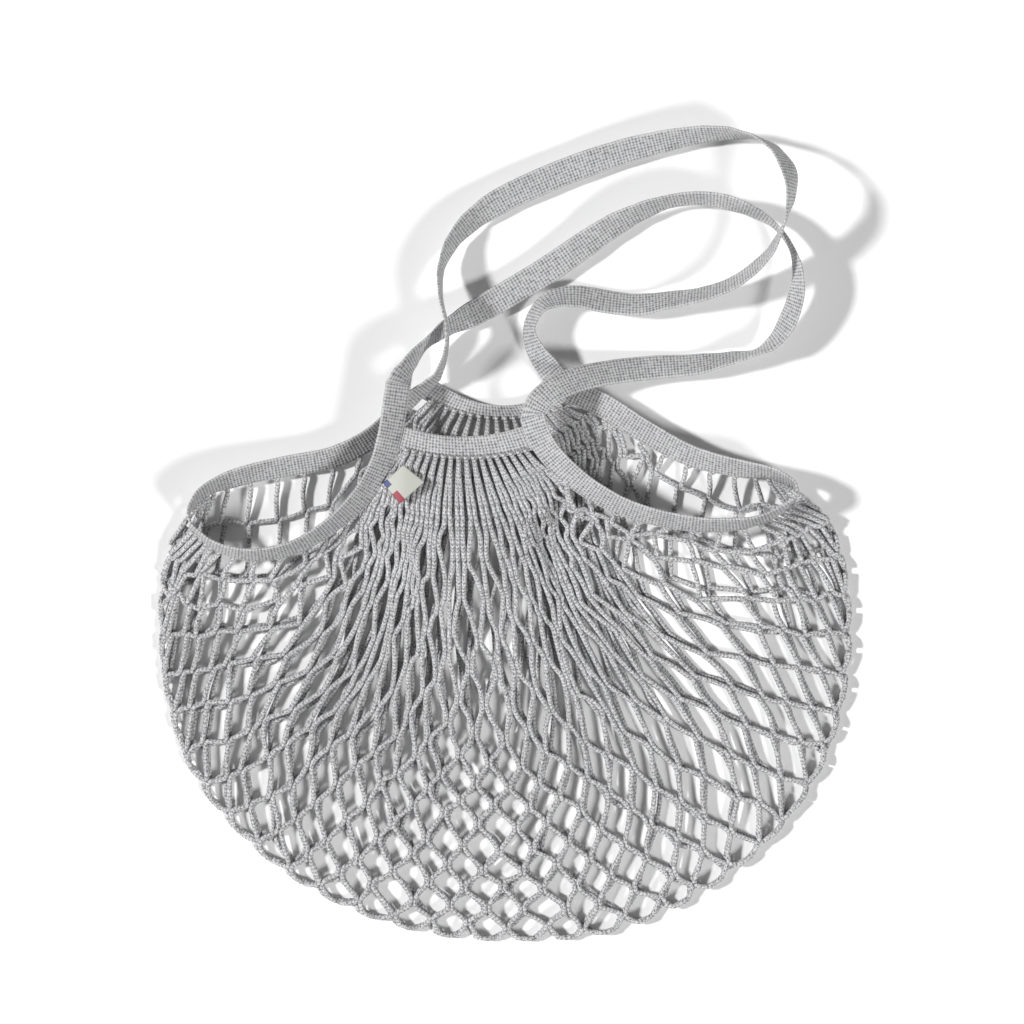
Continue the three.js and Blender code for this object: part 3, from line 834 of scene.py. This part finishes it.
def yarn_shader(tree, relief, light, hollow_shade, depth, roughness):
    """Matt cotton: painted shade in the hollows of its relief, light on its crowns, and softly sheened."""
    # The fluff of cotton yarn is about 0.1 mm across, too fine to show here, so it is drawn coarser. The
    # patches are where washing and handling leave the cotton lighter or darker.
    tuft = 1.111 * MM
    patch = 16.67 * MM
    place = add_node(tree, "ShaderNodeTexCoord").outputs["Object"]
    fibre = add_node(tree, "ShaderNodeTexNoise", {"Vector": place, "Scale": 1 / tuft, "Detail": 3.0})
    patches = add_node(tree, "ShaderNodeTexNoise", {"Vector": place, "Scale": 1 / patch, "Detail": 2.0})
    fluff = add_node(tree, "ShaderNodeMath", {0: fibre, 1: 0.35}, operation="MULTIPLY")
    surface = add_node(tree, "ShaderNodeMath", {0: relief, 1: fluff}, operation="ADD")
    # The colour runs from the painted shade of the hollows, where the relief is low, to the light colour on
    # the crowns.
    crown = add_node(
        tree,
        "ShaderNodeMapRange",
        {"Value": surface, "From Min": 0.15, "From Max": 1.0},
        interpolation_type="SMOOTHSTEP",
    )
    yarn = add_node(
        tree, "ShaderNodeMix", {MIX_SHARE: crown, MIX_LOW: hollow_shade, MIX_HIGH: light}, data_type="RGBA"
    )
    uneven = add_node(tree, "ShaderNodeMath", {0: patches, 1: 0.3, 2: 0.85}, operation="MULTIPLY_ADD")
    tone = add_node(tree, "ShaderNodeHueSaturation", {"Color": yarn.outputs[MIX_RESULT], "Value": uneven})
    bump = add_node(tree, "ShaderNodeBump", {"Height": surface, "Strength": 0.8, "Distance": depth})
    shader = add_node(
        tree,
        "ShaderNodeBsdfPrincipled",
        {
            "Base Color": tone,
            "Roughness": roughness,
            "Normal": bump,
            "Sheen Weight": 0.15,
            "Sheen Roughness": 0.5,
        },
    )
    add_node(tree, "ShaderNodeOutputMaterial", {"Surface": shader})


def knitted_cord_material(sizes):
    """Chain-knitted cotton cord: two rows of V stitches side by side, with painted shade in the hollow round
    each.
    """
    # The mark holds millimetres along the cord, and shares of its radius across and above it. A stitch lags
    # at the sides by v_turn, which draws the V, and its place drifts by up to drift_turn, both in radians,
    # from one drift_length to the next. The plies of the yarn are about 0.3 mm wide, too fine to show, so
    # flecks of it are drawn coarser, 1.8 mm long with 2.2 of them on a radius.
    v_turn = 2.6
    drift_turn = 7.0
    drift_length = 2.857
    fleck_length = 1.818
    flecks_on_radius = 2.2
    stitch_turn = 2 * math.pi / (sizes.stitch / MM)
    material, tree = new_material("chain_knitted_cotton_cord")
    mark = add_node(tree, "ShaderNodeAttribute", attribute_name="cord").outputs["Vector"]
    parts = add_node(tree, "ShaderNodeSeparateXYZ", {0: mark}).outputs
    aside = add_node(tree, "ShaderNodeMath", {0: parts[1]}, operation="ABSOLUTE")
    drift = add_node(tree, "ShaderNodeTexNoise", {"Vector": mark, "Scale": 1 / drift_length, "Detail": 1.0})
    turns = add_node(tree, "ShaderNodeMath", {0: parts[0], 1: stitch_turn}, operation="MULTIPLY")
    uneven = add_node(tree, "ShaderNodeMath", {0: drift, 1: drift_turn, 2: turns}, operation="MULTIPLY_ADD")
    slant = add_node(tree, "ShaderNodeMath", {0: aside, 1: v_turn, 2: uneven}, operation="MULTIPLY_ADD")
    wave = add_node(tree, "ShaderNodeMath", {0: slant}, operation="SINE")
    stretch = (1 / fleck_length, flecks_on_radius, flecks_on_radius)
    plies = add_node(tree, "ShaderNodeMapping", {"Vector": mark, "Scale": stretch})
    strand = add_node(
        tree, "ShaderNodeTexNoise", {"Vector": plies, "Scale": 1.0, "Detail": 3.0, "Roughness": 0.7}
    )
    flecks = add_node(tree, "ShaderNodeMath", {0: strand, 1: 2.6, 2: -0.85}, operation="MULTIPLY_ADD")
    relief = add_node(tree, "ShaderNodeMath", {0: wave, 1: 0.17, 2: flecks}, operation="MULTIPLY_ADD")
    yarn_shader(tree, relief, sizes.light, sizes.hollow_shade, depth=0.4 * MM, roughness=0.9)
    return material


def knitted_tape_material(sizes):
    """Rib-knitted cotton tape: cross ribs broken into stitches, painted shade between, and a painted
    highlight at the edge.
    """
    # The mark holds millimetres along and across the tape, and the share of its half width. A patch of wear
    # is 2 mm across, and the edge is the outer fifth of the half width, raised in the bump and lighter as a
    # painted highlight. A rib bows by rib_bow radians of its turn at each column of stitches.
    wear_size = 2.0
    edge_highlight_begins = 0.8
    rib_bow = 0.4
    wale_turn = 2 * math.pi / (sizes.wale / MM)
    rib_turn = 2 * math.pi / (sizes.rib / MM)
    material, tree = new_material("rib_knitted_cotton_tape")
    mark = add_node(tree, "ShaderNodeAttribute", attribute_name="knit").outputs["Vector"]
    parts = add_node(tree, "ShaderNodeSeparateXYZ", {0: mark}).outputs
    columns = add_node(tree, "ShaderNodeMath", {0: parts[1], 1: wale_turn}, operation="MULTIPLY")
    wale = add_node(tree, "ShaderNodeMath", {0: columns}, operation="COSINE")
    turns = add_node(tree, "ShaderNodeMath", {0: parts[0], 1: rib_turn}, operation="MULTIPLY")
    bowed = add_node(tree, "ShaderNodeMath", {0: wale, 1: rib_bow, 2: turns}, operation="MULTIPLY_ADD")
    rib = add_node(tree, "ShaderNodeMath", {0: bowed}, operation="COSINE")
    wear = add_node(tree, "ShaderNodeTexNoise", {"Vector": mark, "Scale": 1 / wear_size, "Detail": 3.0})
    ribs = add_node(tree, "ShaderNodeMath", {0: rib, 1: 0.22, 2: wear}, operation="MULTIPLY_ADD")
    knit = add_node(tree, "ShaderNodeMath", {0: wale, 1: 0.15, 2: ribs}, operation="MULTIPLY_ADD")
    # Near the edge the relief rises, which raises the edge in the bump and lightens its colour as a painted
    # highlight.
    from_middle = add_node(tree, "ShaderNodeMath", {0: parts[2]}, operation="ABSOLUTE")
    beyond = add_node(tree, "ShaderNodeMath", {0: from_middle, 1: edge_highlight_begins}, operation="SUBTRACT")
    edge = add_node(tree, "ShaderNodeMath", {0: beyond, 1: 0.0, 2: 0.02}, operation="SMOOTH_MAX")
    relief = add_node(tree, "ShaderNodeMath", {0: edge, 1: 0.9, 2: knit}, operation="MULTIPLY_ADD")
    yarn_shader(tree, relief, sizes.light, sizes.hollow_shade, depth=0.3 * MM, roughness=0.88)
    return material


def label_corners():
    """The label's four corners, from the sewn edge round to the free one."""
    # The points of the CAD plate that lie this close together are one corner of it. The real label lies
    # turned from the plate, a little aside from it and above it.
    corner_spread = 2 * MM
    turn_degrees = -22
    slip = Vector((4.0, -2.0, 0.6)) * MM
    bm = bmesh.new()
    bm.from_mesh(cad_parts["sewn_label"].data)
    bmesh.ops.remove_doubles(bm, verts=bm.verts, dist=corner_spread)
    corners = [vert.co.copy() for vert in bm.verts]
    bm.free()
    if len(corners) != 4:
        raise RuntimeError(f"the label has {len(corners)} corners where 4 were expected")
    middle = sum(corners, Vector()) / 4
    corners.sort(key=lambda at: math.atan2(at.y - middle.y, at.x - middle.x))
    turn = Matrix.Rotation(math.radians(turn_degrees), 4, "Z")
    return [turn @ (at - middle) + middle + slip for at in corners]


def satin_label_material(sizes):
    """Woven satin label: a smooth pale ground with a fine weft and two plain woven blocks of colour."""
    # Millimetres on the label, as its mark is: one weft thread to the next, drawn coarser than the real
    # 0.2 mm or so, the height of the blocks, and where along the lower edge the blue one ends and the red
    # one begins. A wave of scale 1 has a crest every tenth of pi.
    weft_spacing = 0.5236
    block_height = 3.6
    blue_end = 4.6
    red_start = 9.5
    wave_scale = math.pi / 10 / weft_spacing
    material, tree = new_material("woven_satin_label")
    mark = add_node(tree, "ShaderNodeAttribute", attribute_name="weave").outputs["Vector"]
    parts = add_node(tree, "ShaderNodeSeparateXYZ", {0: mark}).outputs
    weft = add_node(
        tree,
        "ShaderNodeTexWave",
        {"Vector": mark, "Scale": wave_scale, "Distortion": 0.3},
        bands_direction="Y",
    )
    low = add_node(tree, "ShaderNodeMath", {0: parts[1], 1: block_height}, operation="LESS_THAN")
    to_left = add_node(tree, "ShaderNodeMath", {0: parts[0], 1: blue_end}, operation="LESS_THAN")
    to_right = add_node(tree, "ShaderNodeMath", {0: parts[0], 1: red_start}, operation="GREATER_THAN")
    base = sizes.cloth
    for place, block_colour in ((to_left, sizes.blue), (to_right, sizes.red)):
        block = add_node(tree, "ShaderNodeMath", {0: low, 1: place}, operation="MULTIPLY")
        mixed = add_node(
            tree, "ShaderNodeMix", {MIX_SHARE: block, MIX_LOW: base, MIX_HIGH: block_colour}, data_type="RGBA"
        )
        base = mixed.outputs[MIX_RESULT]
    thread = {"Height": weft.outputs["Fac"], "Strength": 0.3, "Distance": 0.1 * MM}
    bump = add_node(tree, "ShaderNodeBump", thread)
    shader = add_node(
        tree,
        "ShaderNodeBsdfPrincipled",
        {"Base Color": base, "Roughness": 0.5, "Normal": bump, "Sheen Weight": 0.2},
    )
    add_node(tree, "ShaderNodeOutputMaterial", {"Surface": shader})
    return material


def make_label(sizes):
    """The label as a thin satin plate, slightly curled up in the middle."""
    segments = 24
    curl_height = 0.8 * MM
    thickness = 0.7 * MM
    low_left, low_right, high_right, high_left = label_corners()
    bm = bmesh.new()
    bmesh.ops.create_grid(bm, x_segments=segments, y_segments=segments, size=1.0)
    weave = bm.verts.layers.float_vector.new("weave")
    width = (low_right - low_left).length
    height = (high_left - low_left).length
    for vert in bm.verts:
        x, y = (vert.co.x + 1) / 2, (vert.co.y + 1) / 2
        lower = low_left.lerp(low_right, x)
        upper = high_left.lerp(high_right, x)
        curl = curl_height * math.sin(math.pi * x) * math.sin(math.pi * y)
        vert.co = lower.lerp(upper, y) + Vector((0, 0, curl))
        vert[weave] = (x * width / MM, y * height / MM, 0)
    bmesh.ops.recalc_face_normals(bm, faces=bm.faces)
    bmesh.ops.solidify(bm, geom=bm.faces, thickness=thickness)
    bmesh.ops.recalc_face_normals(bm, faces=bm.faces)
    mesh = bpy.data.meshes.new("satin_label")
    bm.to_mesh(mesh)
    bm.free()
    return finish_piece("satin_label", mesh, satin_label_material(sizes))


class STRINGBAG_OT_stage(bpy.types.Operator):
    """Lays the pale floor and sets the camera and the lights"""

    bl_idname = "stringbag.stage"
    bl_label = "Stage"

    # Where each light stands as seen from the bag, and how many degrees wide it is. The main one is low at
    # the left, so the shadows fall to the right, and the second one is at the lower right.
    main_way = (-1.0, 0.12, 0.82)
    main_softness = 7.0
    second_way = (0.9, -0.75, 1.0)
    second_softness = 14.0

    def execute(self, context):
        sizes = context.scene.string_bag_stage
        self.floor(sizes)
        self.camera(context.scene, sizes)
        self.sun("main_light", sizes.key, self.main_softness, Vector(self.main_way))
        self.sun("second_light", sizes.fill, self.second_softness, Vector(self.second_way))
        context.scene.view_settings.view_transform = "Standard"
        world = bpy.data.worlds.new("studio")
        world.use_nodes = True
        background = world.node_tree.nodes["Background"]
        background.inputs["Color"].default_value = (1, 1, 1, 1)
        background.inputs["Strength"].default_value = sizes.sky
        context.scene.world = world
        return {"FINISHED"}

    def floor(self, sizes):
        half_width = 3.0
        bm = bmesh.new()
        bmesh.ops.create_grid(bm, x_segments=1, y_segments=1, size=half_width)
        mesh = bpy.data.meshes.new("floor")
        bm.to_mesh(mesh)
        bm.free()
        material, tree = new_material("matt_pale_board")
        shader = add_node(tree, "ShaderNodeBsdfPrincipled", {"Base Color": sizes.floor, "Roughness": 0.9})
        add_node(tree, "ShaderNodeOutputMaterial", {"Surface": shader})
        mesh.materials.append(material)
        floor = bpy.data.objects.new("floor", mesh)
        bpy.context.scene.collection.objects.link(floor)

    def camera(self, scene, sizes):
        data = bpy.data.cameras.new("camera")
        data.sensor_width = 36.0
        data.lens = data.sensor_width * sizes.height / sizes.view_width
        camera = bpy.data.objects.new("camera", data)
        camera.location = (sizes.view_x, sizes.view_y, sizes.height)
        scene.collection.objects.link(camera)
        scene.camera = camera

    def sun(self, name, strength, softness, towards):
        data = bpy.data.lights.new(name, "SUN")
        data.energy = strength
        data.angle = math.radians(softness)
        light = bpy.data.objects.new(name, data)
        light.rotation_euler = towards.to_track_quat("Z", "Y").to_euler()
        light.location = towards
        bpy.context.scene.collection.objects.link(light)


class STRINGBAG_OT_net(bpy.types.Operator):
    """Runs the cords of both layers of the net, from the neck bands and tapes to the fold"""

    bl_idname = "stringbag.net"
    bl_label = "Net"

    def execute(self, context):
        sizes = context.scene.string_bag_net
        material = knitted_cord_material(sizes)
        tapes = (mouth_strip("left_mouth_tape"), mouth_strip("right_mouth_tape"))
        layer = None
        for node, band, is_front, seed in (
            ("net_front", "front_neck_band", True, 7),
            ("net_back", "back_neck_band", False, 11),
        ):
            layer = Layer(is_front, tapes, band_strip(band), sizes.margin, layer)
            self.run(node, Net(layer, sizes, seed), material, sizes)
        return {"FINISHED"}

    def run(self, node, net, material, sizes):
        """Makes the gather and the open net of one layer, with a rib's cord split at its third meeting."""
        gather, open_net = [], []
        points_to_third_meeting = 8
        for points, first_meeting in net.cords():
            if first_meeting:
                split = first_meeting + points_to_third_meeting
                rib = float(np.linalg.norm(points[first_meeting] - points[0]))
                gather.append((points[: split + 1], rib))
                open_net.append((points[split:], 0.0))
            else:
                open_net.append((points, 0.0))
        for name, runs in ((f"{node}_gather", gather), (f"{node}_cords", open_net)):
            piece = cord_piece(name, runs, sizes, material)
            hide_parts(node)


class STRINGBAG_OT_tapes(bpy.types.Operator):
    """Knits the two mouth tapes, the two handles and the two neck bands"""

    bl_idname = "stringbag.tapes"
    bl_label = "Knitted tapes"

    def execute(self, context):
        sizes = context.scene.string_bag_tape
        material = knitted_tape_material(sizes)
        nodes = (
            "left_mouth_tape",
            "right_mouth_tape",
            "front_handle",
            "back_handle",
            "front_neck_band",
            "back_neck_band",
        )
        for node in nodes:
            piece = knitted_strip(f"knitted_{node}", read_strip(node), sizes, material)
            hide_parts(node)
        return {"FINISHED"}


class STRINGBAG_OT_label(bpy.types.Operator):
    """Lays the small sewn label on the left tape"""

    bl_idname = "stringbag.label"
    bl_label = "Sewn label"

    def execute(self, context):
        piece = make_label(context.scene.string_bag_label)
        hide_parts("sewn_label")
        return {"FINISHED"}


class STRINGBAG_PT_panel(bpy.types.Panel):
    """Lists the bag's pieces and their sizes"""

    bl_label = "String Bag"
    bl_idname = "STRINGBAG_PT_panel"
    bl_space_type = "VIEW_3D"
    bl_region_type = "UI"
    bl_category = "String Bag"

    def draw(self, context):
        groups = (
            (STRINGBAG_OT_stage, "string_bag_stage"),
            (STRINGBAG_OT_net, "string_bag_net"),
            (STRINGBAG_OT_tapes, "string_bag_tape"),
            (STRINGBAG_OT_label, "string_bag_label"),
        )
        for operator, group_name in groups:
            box = self.layout.box()
            box.operator(operator.bl_idname)
            group = getattr(context.scene, group_name)
            for name in group.bl_rna.properties.keys():
                if name not in ("rna_type", "name"):
                    box.prop(group, name)


GROUPS = {
    "string_bag_stage": StringBagStage,
    "string_bag_net": StringBagNet,
    "string_bag_tape": StringBagTape,
    "string_bag_label": StringBagLabel,
}
CLASSES = (
    *GROUPS.values(),
    STRINGBAG_OT_stage,
    STRINGBAG_OT_net,
    STRINGBAG_OT_tapes,
    STRINGBAG_OT_label,
    STRINGBAG_PT_panel,
)


def register():
    for each in CLASSES:
        bpy.utils.register_class(each)
    for name, group in GROUPS.items():
        setattr(bpy.types.Scene, name, bpy.props.PointerProperty(type=group))


def unregister():
    for name in GROUPS:
        delattr(bpy.types.Scene, name)
    for each in reversed(CLASSES):
        bpy.utils.unregister_class(each)


def main():
    register()
    bpy.ops.stringbag.stage()
    bpy.ops.stringbag.net()
    bpy.ops.stringbag.tapes()
    bpy.ops.stringbag.label()


if __name__ == "__main__":
    main()
